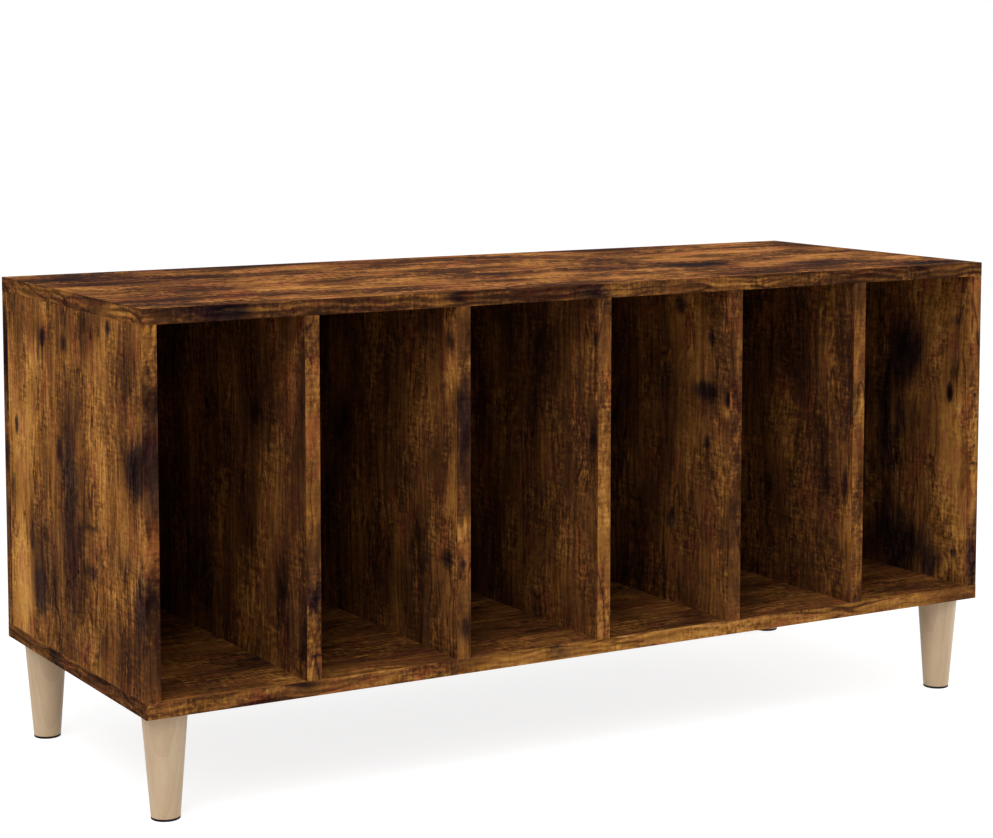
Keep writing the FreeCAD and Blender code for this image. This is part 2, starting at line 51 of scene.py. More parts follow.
# Marks of the print. Each has its kind, its place in two directions on the face, its half size in both, and
# its strength. Places and sizes are in millimetres. Soot is a dark cloud with a torn rim, which is printed
# soot in most places and painted shade in a few. A spot is a small dark spot or a thin line, with an uneven
# rim. A knot is a dark heart in a faint ring. Honey is lighter oak, or darker oak where its strength is
# below zero; a few of the darker ones are painted shade.
# An upright's marks lie on its left face, measured back from the cabinet's front and up from its foot.
UPRIGHT_MARKS = {
    "left_side": [
        ("spot", 260, 315, 11, 10, 1.1),
        ("spot", 262, 298, 4, 20, 0.6),
        ("spot", 202, 314, 13, 11, 1.0),
        ("spot", 81, 339, 8, 9, 1.1),
        ("spot", 106, 335, 4, 8, 0.6),
        ("spot", 342, 216, 6, 10, 1.6),
        ("spot", 219, 207, 8, 15, 1.0),
        ("spot", 130, 98, 20, 10, 0.8),
        ("spot", 128, 142, 18, 4, 0.7),
        ("spot", 312, 300, 3, 60, 0.5),
        ("spot", 237, 290, 2, 80, 0.5),
        ("spot", 235, 50, 3, 60, 0.6),
        ("spot", 6, 217, 36, 20, 0.5),
        ("soot_and_shade", 187, 215, 26, 76, 0.65),
        ("soot_and_shade", 190, 105, 46, 100, 0.65),
        ("soot_and_shade", 268, 90, 40, 70, 0.6),
        ("soot_and_shade", 279, 60, 34, 50, 0.3),
        ("spot", 280, 50, 22, 26, 0.35),
        ("soot_and_shade", 4, 217, 46, 36, 1.3),
        ("soot_and_shade", 4, 80, 24, 42, 1.2),
        ("soot_and_shade", 45, 120, 20, 16, 0.6),
        ("soot_and_shade", 30, 300, 16, 44, 0.4),
        ("soot_and_shade", 115, 36, 26, 24, 0.5),
        ("soot_and_shade", 30, 24, 70, 30, 0.25),
        ("honey", 280, 285, 28, 22, 0.28),
        ("honey", 332, 80, 36, 130, 0.44),
        ("honey", 310, 240, 60, 60, 0.16),
        ("honey", 212, 85, 5, 50, 0.16),
        ("honey", 82, 150, 34, 60, 0.10),
        ("honey", 160, 335, 70, 26, -0.16),
        ("honey", 28, 298, 34, 60, -0.22),
        ("honey", 30, 40, 60, 50, -0.16),
        ("honey", 200, 60, 50, 70, -0.12),
        ("honey", 229, 245, 26, 36, -0.14),
        ("honey", 72, 262, 22, 46, 0.12),
        ("honey", 50, 124, 44, 22, -0.12),
        ("honey", 150, 76, 24, 36, -0.13),
        ("honey", 150, 192, 20, 22, -0.09),
        ("honey", 300, 12, 80, 18, -0.12),
        ("honey", 170, 12, 44, 18, -0.10),
        ("honey", 290, 160, 34, 44, 0.10),
    ],
    "divider_1": [
        ("soot_and_shade", 40, 40, 30, 40, 0.4),
        ("spot", 8, 262, 3, 14, 0.6),
        # These two darken the face near its front edge: partly print, partly painted shade of the slot's
        # contents.
        ("honey", 8, 265, 14, 90, -0.24),
        ("honey", 8, 90, 14, 26, -0.18),
    ],
    "divider_2": [
        ("honey", 20, 335, 7, 9, 0.35),
        ("spot", 13, 314, 10, 13, 0.9),
        ("honey", 17, 279, 16, 26, 0.25),
        ("spot", 23, 98, 14, 14, 0.8),
        ("honey", 16, 40, 14, 40, 0.12),
        ("honey", 10, 160, 18, 46, 0.24),
        ("honey", 8, 88, 14, 40, 0.14),
        # Darker near the front edge: partly print, partly painted shade of the slot's contents.
        ("honey", 6, 258, 10, 18, -0.20),
    ],
    "divider_3": [
        ("spot", 7, 309, 5, 12, 0.9),
        ("spot", 10, 206, 9, 24, 0.8),
        ("honey", 14, 110, 20, 60, 0.08),
        # These two darken the face near its front edge: partly print, partly painted shade of the slot's
        # contents.
        ("honey", 12, 232, 24, 50, -0.20),
        ("honey", 12, 165, 20, 30, -0.10),
    ],
    "divider_4": [
        ("spot", 93, 328, 15, 12, 0.9),
        ("spot", 34, 297, 6, 12, 1.1),
        ("spot", 46, 240, 28, 10, 0.7),
        ("soot_and_shade", 44, 238, 34, 20, 0.5),
        ("spot", 4, 234, 4, 9, 1.1),
        ("honey", 6, 214, 8, 8, 0.4),
        ("knot", 41, 185, 8, 11, 1.2),
        ("soot_and_shade", 109, 97, 17, 15, 0.8),
        ("soot_and_shade", 97, 17, 22, 16, 0.5),
        ("honey", 70, 70, 50, 70, 0.12),
        ("honey", 80, 300, 60, 60, 0.20),
        ("honey", 20, 320, 30, 50, 0.06),
        ("honey", 18, 170, 18, 40, 0.13),
        ("honey", 30, 88, 44, 22, -0.18),
        ("honey", 92, 122, 24, 24, -0.10),
        ("honey", 56, 227, 24, 20, -0.10),
        ("honey", 92, 235, 22, 80, 0.09),
        ("honey", 46, 338, 40, 20, 0.09),
    ],
    "divider_5": [
        ("soot_and_shade", 17, 229, 12, 55, 0.45),
        ("spot", 13, 129, 6, 24, 0.9),
        ("honey", 10, 77, 14, 26, 0.18),
        # These two darken the face near its front edge: partly print, partly painted shade of the slot's
        # contents.
        ("honey", 6, 225, 12, 85, -0.28),
        ("honey", 22, 290, 16, 30, -0.15),
        ("honey", 8, 17, 16, 20, 0.14),
    ],
    "right_side": [
        ("soot_and_shade", 108, 258, 36, 46, 1.1),
        # These three darken the wall deep in the slot and low down: partly print, partly painted shade.
        ("soot_and_shade", 140, 165, 30, 110, 0.85),
        ("soot_and_shade", 104, 168, 30, 40, 0.4),
        ("soot_and_shade", 118, 28, 70, 50, 1.0),
        ("soot_and_shade", 60, 20, 24, 24, 0.5),
        ("spot", 32, 216, 5, 11, 1.9),
        ("spot", 31, 234, 2, 12, 0.5),
        ("knot", 22, 34, 8, 9, 1.2),
        ("spot", 16, 113, 2, 10, 0.9),
        ("spot", 24, 297, 16, 8, 0.5),
        ("spot", 79, 318, 3, 22, 0.6),
        ("honey", 40, 240, 30, 60, 0.02),
        ("honey", 34, 130, 44, 110, 0.05),
        ("honey", 57, 70, 24, 30, -0.10),
        # These two darken the wall deep in the slot: partly print, partly painted shade.
        ("honey", 98, 160, 22, 36, -0.14),
        ("honey", 92, 34, 24, 36, -0.13),
    ],
}

# The right side has marks on its outer face too, measured in the same way
RIGHT_OUTER_MARKS = [
    ("spot", 96, 306, 9, 10, 1.0),
    ("spot", 252, 262, 6, 13, 0.9),
    ("spot", 330, 74, 5, 10, 1.1),
    ("knot", 168, 118, 8, 12, 1.3),
    ("soot_and_shade", 232, 150, 30, 90, 0.6),
    ("soot_and_shade", 60, 190, 30, 60, 0.5),
    ("honey", 112, 90, 44, 90, 0.2),
    ("honey", 320, 260, 40, 70, 0.16),
]

# On the back board's rear face they are measured right from the cabinet's middle and up from its lower edge
BACK_MARKS = [
    ("knot", -338, 232, 17, 9, 1.3),
    ("knot", 372, 96, 15, 9, 1.3),
    ("spot", -118, 92, 13, 8, 1.0),
    ("spot", 214, 276, 14, 8, 1.0),
    ("soot_and_shade", -240, 150, 120, 32, 0.5),
    ("soot_and_shade", 130, 118, 130, 36, 0.55),
    ("honey", 300, 214, 120, 36, 0.18),
    ("honey", -400, 70, 100, 36, 0.18),
]

# On the back board's left end band they are measured back from the cabinet's front and up from the same edge
BACK_BAND_MARKS = [
    ("soot_and_shade", 372, 296, 14, 44, 0.9),
    ("soot_and_shade", 372, 180, 14, 28, 0.9),
]

# On an upright's front band they are measured right from its middle and up from its foot
BAND_MARKS = {
    "left_side": [
        ("honey", 0, 336, 14, 24, -0.08),
        ("honey", 0, 297, 20, 24, -0.12),
        ("soot_and_shade", 0, 214, 30, 54, 1.1),
        ("honey", 0, 143, 20, 40, -0.05),
        ("soot_and_shade", -4, 100, 12, 26, 0.8),
        ("honey", 0, 40, 20, 70, -0.30),
        ("honey", 0, 56, 20, 20, -0.08),
    ],
    "divider_1": [
        ("honey", 0, 240, 12, 120, -0.10),
        ("honey", 0, 161, 9, 9, 0.15),
        ("honey", 0, 208, 14, 30, -0.12),
        ("soot_and_shade", 0, 122, 12, 11, 0.25),
        ("soot_and_shade", 0, 84, 14, 20, 1.1),
        ("spot", 0, 24, 12, 2, 0.9),
        ("honey", -4, 11, 5, 11, 0.3),
        ("spot", 4, 10, 4, 10, 0.7),
        ("honey", 0, 80, 14, 70, -0.08),
    ],
    "divider_2": [
        ("honey", 0, 180, 14, 180, -0.23),
        ("soot_and_shade", 2, 226, 24, 60, 1.1),
        ("honey", 0, 88, 14, 30, 0.14),
        ("honey", 0, 133, 8, 12, 0.3),
        ("knot", -1, 95, 5, 8, 1.0),
        ("soot_and_shade", 0, 31, 12, 14, 0.7),
    ],
    "divider_3": [
        ("honey", 0, 180, 14, 180, -0.05),
        ("honey", 0, 335, 14, 60, -0.26),
        ("honey", 0, 30, 14, 50, 0.13),
    ],
    "divider_4": [
        ("honey", 0, 180, 20, 180, -0.14),
        ("honey", 0, 340, 14, 36, -0.26),
        ("honey", 0, 244, 14, 34, -0.14),
        ("honey", 0, 118, 14, 30, 0.08),
        ("honey", 0, 52, 14, 24, 0.08),
    ],
    "divider_5": [
        ("honey", 0, 213, 8, 14, 0.2),
        ("honey", 0, 180, 14, 180, 0.09),
        ("honey", 0, 340, 14, 34, -0.34),
        ("honey", 0, 205, 14, 50, 0.13),
        ("honey", 0, 104, 14, 30, -0.12),
    ],
    "right_side": [
        ("spot", 1, 216, 4, 4, 0.9),
        ("honey", 0, 171, 8, 30, 0.15),
        ("honey", 0, 250, 12, 120, -0.06),
        ("honey", 0, 87, 14, 24, -0.10),
        ("spot", 0, 139, 9, 2, 0.8),
        ("soot_and_shade", 1, 28, 14, 44, 0.95),
    ],
}

# On the top board they are measured right from the cabinet's middle and back from its front
TOP_MARKS = [
    ("honey", -480, 115, 70, 40, 0.08),
    ("honey", 45, 60, 90, 60, 0.24),
    ("honey", 189, 108, 80, 26, 0.10),
    ("honey", 440, 115, 80, 60, 0.22),
    ("honey", 340, 36, 160, 36, -0.28),
    ("honey", 180, 20, 60, 22, -0.16),
    # Partly print, partly painted shadow of a vase that stands here on the top.
    ("soot_and_shade", 190, 130, 70, 26, 0.8),
    ("soot_and_shade", 350, 100, 60, 18, 0.9),
    ("soot_and_shade", 450, 26, 60, 26, 0.9),
    # These two darken the left rear of the top: partly print, partly painted shade of a turntable that
    # stands there.
    ("soot_and_shade", -430, 368, 60, 24, 0.45),
    ("honey", -420, 300, 140, 100, -0.10),
    ("soot_and_shade", -470, 30, 70, 24, 0.6),
]

# On the top and bottom boards' front bands they are measured right from the middle and up from the
# board's underside
TOP_BAND_MARKS = [
    ("soot_and_shade", -460, 8, 40, 12, 0.5),
    ("soot_and_shade", -415, 9, 34, 14, 1.0),
    ("honey", -380, 10, 30, 16, 0.04),
    ("honey", -290, 8, 50, 14, 0.11),
    ("honey", -248, 8, 30, 20, 0.06),
    ("honey", -190, 12, 24, 16, 0.2),
    ("soot_and_shade", -166, 8, 14, 9, 0.8),
    ("honey", -135, 8, 26, 20, 0.06),
    ("honey", -60, 8, 60, 20, -0.12),
    ("soot_and_shade", -16, 8, 26, 12, 0.9),
    ("honey", 20, 12, 26, 16, 0.14),
    ("honey", 85, 8, 30, 14, 0.11),
    ("honey", 255, 8, 50, 20, 0.16),
    ("honey", 412, 8, 34, 20, 0.14),
    ("honey", 470, 8, 30, 14, 0.08),
]
BOTTOM_BAND_MARKS = [
    ("honey", -450, 7, 60, 20, -0.06),
    ("honey", -310, 7, 60, 20, 0.14),
    ("honey", -190, 7, 50, 20, -0.14),
    ("honey", -35, 7, 95, 20, 0.32),
    ("honey", 130, 7, 110, 20, 0.22),
    ("honey", 300, 7, 60, 20, 0.06),
    ("honey", 412, 7, 40, 20, 0.15),
    ("honey", 480, 7, 30, 20, -0.08),
    ("soot_and_shade", -116, 0, 7, 3, 1.0),
    ("soot_and_shade", 58, 0, 7, 3, 1.0),
    ("soot_and_shade", 302, 1, 7, 3, 1.0),
]

# On their left end bands they are measured back from the front and up from the board's underside
TOP_END_MARKS = [
    ("honey", 45, 8, 46, 16, 0.33),
    ("honey", 200, 8, 50, 16, 0.24),
    ("honey", 300, 8, 50, 16, 0.05),
]
BOTTOM_END_MARKS = [
    ("honey", 190, 7, 260, 30, -0.16),
    ("soot_and_shade", 260, 7, 120, 20, 0.36),
    ("soot_and_shade", 60, 7, 70, 20, 0.25),
    ("honey", 84, 7, 26, 30, 0.05),
    ("honey", 137, 7, 30, 30, 0.14),
    ("honey", 196, 7, 26, 30, -0.10),
    ("soot_and_shade", 243, 7, 26, 20, 0.5),
]

TEXTURE_MIDDLE = 0.5


class Nodes:
    """Short ways to add nodes to one tree. All but add give back the socket that the next node reads."""

    def __init__(self, tree):
        self.tree = tree

    def add(self, kind, inputs, **settings):
        """A new node, with its settings made and its inputs joined to sockets or filled with values."""
        made = self.tree.nodes.new(kind)
        for name, value in settings.items():
            setattr(made, name, value)
        for name, value in inputs.items():
            if isinstance(value, bpy.types.NodeSocket):
                self.tree.links.new(value, made.inputs[name])
            else:
                made.inputs[name].default_value = value
        return made

    def maths(self, operation, *values, **settings):
        inputs = dict(enumerate(values))
        return self.add("ShaderNodeMath", inputs, operation=operation, **settings).outputs[0]

    def sum(self, *values):
        total = values[0]
        for value in values[1:]:
            total = self.maths("ADD", total, value)
        return total

    def times(self, first, second):
        return self.maths("MULTIPLY", first, second)

    def swing(self, value, reach):
        """A texture's value, moved so that it lies about zero and is as wide as reach."""
        return self.times(self.maths("SUBTRACT", value, TEXTURE_MIDDLE), reach)

    def vector(self, operation, first, second):
        return self.add("ShaderNodeVectorMath", {0: first, 1: second}, operation=operation).outputs[0]

    def noise(self, place, steps, detail=2.0, roughness=0.5, output="Fac"):
        """Cloudy noise, with this many steps to the metre along X, Y and Z."""
        stretched = self.vector("MULTIPLY", place, steps)
        inputs = {"Vector": stretched, "Scale": 1.0, "Detail": detail, "Roughness": roughness}
        return self.add("ShaderNodeTexNoise", inputs).outputs[output]

    def push(self, place, steps, reach, detail=2.0, roughness=0.5):
        """A random push of up to half of reach each way, which changes from place to place."""
        random = self.noise(place, steps, detail, roughness, output="Color")
        centred = self.vector("SUBTRACT", random, (TEXTURE_MIDDLE, TEXTURE_MIDDLE, TEXTURE_MIDDLE))
        return self.vector("MULTIPLY", centred, reach)

    def fade(self, value, start, end, low=0.0, high=1.0):
        """Goes softly from low to high as the value goes from start to end."""
        inputs = {"Value": value, "From Min": start, "From Max": end, "To Min": low, "To Max": high}
        return self.add("ShaderNodeMapRange", inputs, interpolation_type="SMOOTHSTEP").outputs[0]

    def tinted(self, share, colour, tint):
        """The colour, multiplied by the tint in this share. 6, 7 and 2 are a Mix node's colour sockets."""
        inputs = {0: share, 6: colour, 7: tint}
        return self.add("ShaderNodeMix", inputs, data_type="RGBA", blend_type="MULTIPLY").outputs[2]

    def ramp(self, value, stops):
        made = self.add("ShaderNodeValToRGB", {"Fac": value})
        spots = made.color_ramp.elements
        while len(spots) < len(stops):
            spots.new(1.0)
        for spot, (place, colour) in zip(spots, stops):
            spot.position = place
            spot.color = (*colour, 1.0)
        return made.outputs[0]


def new_group(name, inputs, outputs):
    """An empty shader node group, with a way to add its nodes and the sockets of what it is given."""
    group = bpy.data.node_groups.new(name, "ShaderNodeTree")
    for label, kind in inputs:
        group.interface.new_socket(label, in_out="INPUT", socket_type="NodeSocket" + kind)
    for label, kind in outputs:
        group.interface.new_socket(label, in_out="OUTPUT", socket_type="NodeSocket" + kind)
    nodes = Nodes(group)
    given = nodes.add("NodeGroupInput", {}).outputs
    return group, nodes, given


MARK_INPUTS = [("Place", "Vector"), ("Centre", "Vector"), ("Reach", "Vector"), ("Strength", "Float"),
               ("Under", "Float")]
MARK_OUTPUTS = [("Mask", "Float")]

# How far out a mark's cloud, heart and ring begin and end, in the mark's half sizes
CLOUD_FULL = 0.1
CLOUD_GONE = 1.5
HEART_FULL = 0.2
HEART_GONE = 1.1
RING_STARTS = 1.0
RING_FULL_FROM = 1.45
RING_FULL_TO = 1.55
RING_GONE = 2.1
RING_STRENGTH = 0.28


def mark_distance(nodes, given):
    """How far a place lies from a mark's centre, told in the mark's half sizes."""
    offset = nodes.vector("SUBTRACT", given["Place"], given["Centre"])
    away = nodes.vector("DIVIDE", offset, given["Reach"])
    return nodes.add("ShaderNodeVectorMath", {0: away}, operation="LENGTH").outputs["Value"]


def put_out_mark(nodes, given, shape):
    """Adds the mark's shape, at its strength, to what lies under it."""
    mask = nodes.sum(given["Under"], nodes.times(shape, given["Strength"]))
    nodes.add("NodeGroupOutput", {"Mask": mask})


def print_mark_group():
    """One cloud of the print: full at its centre and gone past its reach."""
    group, nodes, given = new_group("print_mark", MARK_INPUTS, MARK_OUTPUTS)
    put_out_mark(nodes, given, nodes.fade(mark_distance(nodes, given), CLOUD_GONE, CLOUD_FULL))
    return group


def knot_group():
    """One knot: a dark heart in a faint ring."""
    group, nodes, given = new_group("knot", MARK_INPUTS, MARK_OUTPUTS)
    distance = mark_distance(nodes, given)
    heart = nodes.fade(distance, HEART_GONE, HEART_FULL)
    ring_inside = nodes.fade(distance, RING_STARTS, RING_FULL_FROM)
    ring_outside = nodes.fade(distance, RING_GONE, RING_FULL_TO, high=RING_STRENGTH)
    put_out_mark(nodes, given, nodes.sum(heart, nodes.times(ring_inside, ring_outside)))
    return group


# The oak print's patterns, in steps to the metre along X, which is along the grain, and along Y and Z
DRIFT_STEPS = (7, 14, 14)
FIELD_STEPS = (10, 20, 20)
HUE_STEPS = (20, 40, 40)
BUSY_STEPS = (16, 23, 23)
STREAK_STEPS = (4.5, 130, 130)
DASH_STEPS = (52, 190, 190)
SAW_STEPS = (300, 52, 52)
FLAKE_STEPS = (200, 290, 290)
SPLIT_STEPS = (2.6, 46, 46)
LINE_STEPS = (14, 50, 50)
DRAWN_STEPS = (13, 30, 30)
SMOKE_STEPS = (22, 52, 52)

# How far the grain drifts from its straight run, and how its wavy lines bend
DRIFT_REACH = (20 * MILLIMETRE, 30 * MILLIMETRE, 30 * MILLIMETRE)
LINE_WAVES = {"Scale": 1.0, "Distortion": 4.5, "Detail": 2.0, "Detail Scale": 0.6, "Detail Roughness": 0.5}

# How far each pattern swings the tone, which is a half on plain oak
PLAIN_TONE = 0.5
FIELD_SWING = 1.05
STREAK_SWING = 0.62
DASH_SWING = 0.80
SAW_SWING = 0.46
FLAKE_SWING = 0.70
LINE_SWING = 0.34
SPLIT_TONE = -0.30

# Where in a texture's range each effect begins and ends, and its least and most
SPLIT_RANGE = (0.012, 0.0)
BUSY_RANGE = (0.38, 0.62)
BUSY_LEAST = 0.45
BUSY_MOST = 1.4
DRAWN_RANGE = (0.40, 0.60)
DRAWN_LEAST = 0.1
RUST_RANGE = (0.48, 0.64)
HONEY_RANGE = (0.52, 0.34)
HUE_MOST = 0.9
SMOKE_RANGE = (0.25, 0.75)
SMOKE_LEAST = 0.65
SMOKE_MOST = 1.30
STRAY_SOOT_SWING = 0.6
STRAY_SOOT_RANGE = (0.42, 0.18)
STRAY_SOOT_MOST = 0.7

# The soot and painted shade over which the oak goes from clean to smoked, and from smoked to charred
SMOKE_AND_SHADE_RANGE = (0.0, 1.0)
CHAR_AND_DEEP_SHADE_RANGE = (0.9, 1.9)

# The oak's colours from dark to light, each at its place on the ramp, and where a tone of one lies there
TONE_ON_RAMP = 0.8
OAK_COLOURS = [
    (0.08, (0.040, 0.0165, 0.0082)),
    (0.272, (0.105, 0.0428, 0.0146)),
    (0.40, (0.205, 0.085, 0.0215)),
    (0.528, (0.350, 0.157, 0.035)),
    (0.72, (0.580, 0.290, 0.070)),
    (1.0, (0.680, 0.355, 0.093)),
]

# What the oak's colour is multiplied by
RUST_TINT = (0.72, 0.51, 0.70, 1.0)
HONEY_TINT = (1.13, 1.09, 0.86, 1.0)
WARM_TINT = (1.05, 0.90, 0.98, 1.0)
# The smoked and charred tints darken printed soot and painted shade alike.
SMOKE_AND_SHADE_TINT = (0.165, 0.200, 0.56, 1.0)
CHAR_AND_DEEP_SHADE_TINT = (0.30, 0.27, 0.25, 1.0)

# The paper's roughness and height, and each pattern's share in them
PRINT_ROUGHNESS = 0.62
FLAKE_ROUGHNESS = 0.16
STREAK_ROUGHNESS = 0.12
STREAK_HEIGHT = 0.6
FLAKE_HEIGHT = 0.3
DASH_HEIGHT = 0.4


def oak_print_group():
    """The boards' printed paper: golden oak with long grain lines, short dashes, saw marks, rust and soot.

    Place has the grain along its X. Tone lightens or darkens and the soot input blackens; in places both
    carry painted shade. Lines shows the wavy grain, Warmth reddens and Figure widens the swing between light
    and dark.
    """
    inputs = [("Place", "Vector"), ("Tone", "Float"), ("Soot and shade", "Float"), ("Lines", "Float"),
              ("Warmth", "Float"), ("Figure", "Float")]
    outputs = [("Color", "Color"), ("Roughness", "Float"), ("Height", "Float")]
    group, nodes, given = new_group("oak_print", inputs, outputs)
    place = given["Place"]
    grain = nodes.vector("ADD", place, nodes.push(place, DRIFT_STEPS, DRIFT_REACH, detail=3))
    field = nodes.noise(grain, FIELD_STEPS, detail=4)
    hue = nodes.noise(grain, HUE_STEPS, detail=5, roughness=0.68)
    streak = nodes.noise(grain, STREAK_STEPS, detail=3, roughness=0.6)
    dash = nodes.noise(grain, DASH_STEPS, detail=4, roughness=0.62)
    saw = nodes.noise(place, SAW_STEPS, detail=3, roughness=0.6)
    flake = nodes.noise(place, FLAKE_STEPS, detail=4, roughness=0.7)
    smoke = nodes.noise(grain, SMOKE_STEPS, detail=4, roughness=0.6)

    # A split lies where its noise crosses the middle
    crack = nodes.noise(grain, SPLIT_STEPS, detail=1, roughness=0.4)
    gap = nodes.maths("ABSOLUTE", nodes.swing(crack, 1.0))
    split = nodes.fade(gap, *SPLIT_RANGE, high=SPLIT_TONE)

    bent = {"Vector": nodes.vector("MULTIPLY", grain, LINE_STEPS), **LINE_WAVES}
    wave = nodes.add("ShaderNodeTexWave", bent, wave_type="BANDS", bands_direction="Y").outputs["Fac"]
    drawn = nodes.fade(nodes.noise(grain, DRAWN_STEPS), *DRAWN_RANGE, low=DRAWN_LEAST)
    line = nodes.times(nodes.times(nodes.swing(wave, LINE_SWING), drawn), given["Lines"])

    busy = nodes.fade(nodes.noise(grain, BUSY_STEPS), *BUSY_RANGE, low=BUSY_LEAST, high=BUSY_MOST)
    fine = nodes.sum(nodes.swing(dash, DASH_SWING), nodes.swing(saw, SAW_SWING),
                     nodes.swing(flake, FLAKE_SWING))
    broad = nodes.sum(nodes.swing(field, FIELD_SWING), nodes.swing(streak, STREAK_SWING))
    figure = nodes.times(nodes.sum(broad, nodes.times(fine, busy)), given["Figure"])
    tone = nodes.sum(given["Tone"], PLAIN_TONE, figure, line, split)

    oak = nodes.ramp(nodes.times(tone, TONE_ON_RAMP), OAK_COLOURS)
    rusty = nodes.tinted(nodes.fade(hue, *RUST_RANGE, high=HUE_MOST), oak, RUST_TINT)
    honey = nodes.tinted(nodes.fade(hue, *HONEY_RANGE, high=HUE_MOST), rusty, HONEY_TINT)
    warm = nodes.tinted(given["Warmth"], honey, WARM_TINT)

    thickness = nodes.fade(smoke, *SMOKE_RANGE, low=SMOKE_LEAST, high=SMOKE_MOST)
    given_soot_and_shade = nodes.times(given["Soot and shade"], thickness)
    stray = nodes.sum(field, nodes.swing(smoke, STRAY_SOOT_SWING))
    soot_and_shade = nodes.sum(given_soot_and_shade, nodes.fade(stray, *STRAY_SOOT_RANGE, high=STRAY_SOOT_MOST))
    # Printed soot and painted shade darken the oak here, first to smoked and then to charred.
    smoked_and_shaded = nodes.tinted(nodes.fade(soot_and_shade, *SMOKE_AND_SHADE_RANGE), warm, SMOKE_AND_SHADE_TINT)
    colour = nodes.tinted(nodes.fade(soot_and_shade, *CHAR_AND_DEEP_SHADE_RANGE), smoked_and_shaded, CHAR_AND_DEEP_SHADE_TINT)

    rougher = nodes.swing(flake, FLAKE_ROUGHNESS)
    roughness = nodes.sum(PRINT_ROUGHNESS, rougher, nodes.swing(streak, STREAK_ROUGHNESS))
    height = nodes.sum(nodes.times(streak, STREAK_HEIGHT), nodes.times(flake, FLAKE_HEIGHT),
                       nodes.times(dash, DASH_HEIGHT))
    nodes.add("NodeGroupOutput", {"Color": colour, "Roughness": roughness, "Height": height})
    return group


PRINT_MARK = print_mark_group()
KNOT = knot_group()
OAK_PRINT = oak_print_group()


def new_material(name):
    """An empty node material, with a way to add its nodes and its Principled shader."""
    material = bpy.data.materials.new(name)
    material.use_nodes = True
    shader = material.node_tree.nodes["Principled BSDF"]
    return material, Nodes(material.node_tree), shader


def object_place(nodes):
    return nodes.add("ShaderNodeTexCoord", {}).outputs["Object"]


def finish_surface(nodes, shader, colour, roughness, height, bump_strength, bump_depth):
    """Joins what changes over the surface to its shader."""
    bump = {"Height": height, "Strength": bump_strength, "Distance": bump_depth}
    nodes.tree.links.new(colour, shader.inputs["Base Color"])
    nodes.tree.links.new(roughness, shader.inputs["Roughness"])
    nodes.tree.links.new(nodes.add("ShaderNodeBump", bump).outputs[0], shader.inputs["Normal"])


# A face's two directions, as axes of the row's frame
RIGHT_AND_BACK = (0, 1)
RIGHT_AND_UP = (0, 2)
BACK_AND_UP = (1, 2)
MARK_DEPTH = 11 * MILLIMETRE


def mark_places(marks, origin, axes):
    """Each mark's kind, centre, reach and strength, in the row's frame.

    A mark lies on the face that origin is on and that axes run along, and fades out inside the board.
    """
    placed = []
    for kind, first, second, half_first, half_second, strength in marks:
        centre = list(origin)
        reach = [MARK_DEPTH] * 3
        centre[axes[0]] += first * MILLIMETRE
        centre[axes[1]] += second * MILLIMETRE
        reach[axes[0]] = half_first * MILLIMETRE
        reach[axes[1]] = half_second * MILLIMETRE
        placed.append((kind, centre, reach, strength))
    return placed


def marked(nodes, group, place, marks, kind, under):
    """The masks of the marks of one kind, one on another, over what lies under them."""
    mask = under
    for label, centre, reach, strength in marks:
        if label == kind:
            inputs = {"Place": place, "Centre": centre, "Reach": reach, "Strength": strength, "Under": mask}
            mask = nodes.add("ShaderNodeGroup", inputs, node_tree=group).outputs["Mask"]
    return mask


# The bands on a flat board's ends take their print from this much farther along the sheet, in metres
END_BANDS_SHEET = 3.0
BAND_THICKNESS = 0.8 * MILLIMETRE
END_BANDS_FROM = cad_high.x - BAND_THICKNESS


def edge_run(nodes, place):
    """Places along the bands of a flat board: along X on its front and rear, and along Y on its ends."""
    x, y, z = nodes.add("ShaderNodeSeparateXYZ", {0: place}).outputs
    at_end = nodes.maths("GREATER_THAN", nodes.maths("ABSOLUTE", x), END_BANDS_FROM)
    along = nodes.sum(x, nodes.times(at_end, nodes.sum(y, END_BANDS_SHEET)))
    return nodes.add("ShaderNodeCombineXYZ", {0: along, 1: z}).outputs[0]


# Turns that lay a board's grain along X
LENGTHWISE = (0.0, 0.0, 0.0)
UPWARDS = (0.0, QUARTER_TURN, 0.0)

# What makes the marks' rims ragged: steps to the metre along the grain and across it, and a rim's reach
TORN_STEPS = (9, 170, 170)
TORN_ALONG = 50 * MILLIMETRE
TORN_ACROSS = 12 * MILLIMETRE
TORN_REACH = {
    LENGTHWISE: (TORN_ALONG, TORN_ACROSS, TORN_ACROSS),
    UPWARDS: (TORN_ACROSS, TORN_ACROSS, TORN_ALONG),
}
BULGE_STEPS = (18, 40, 40)
BULGE_REACH = (22 * MILLIMETRE, 22 * MILLIMETRE, 22 * MILLIMETRE)
WOBBLE_STEPS = (110, 160, 160)
WOBBLE_REACH = (6 * MILLIMETRE, 6 * MILLIMETRE, 6 * MILLIMETRE)

PRINT_SPECULAR = 0.002
PRINT_BUMP_STRENGTH = 0.25
PRINT_BUMP_DEPTH = 0.6 * MILLIMETRE


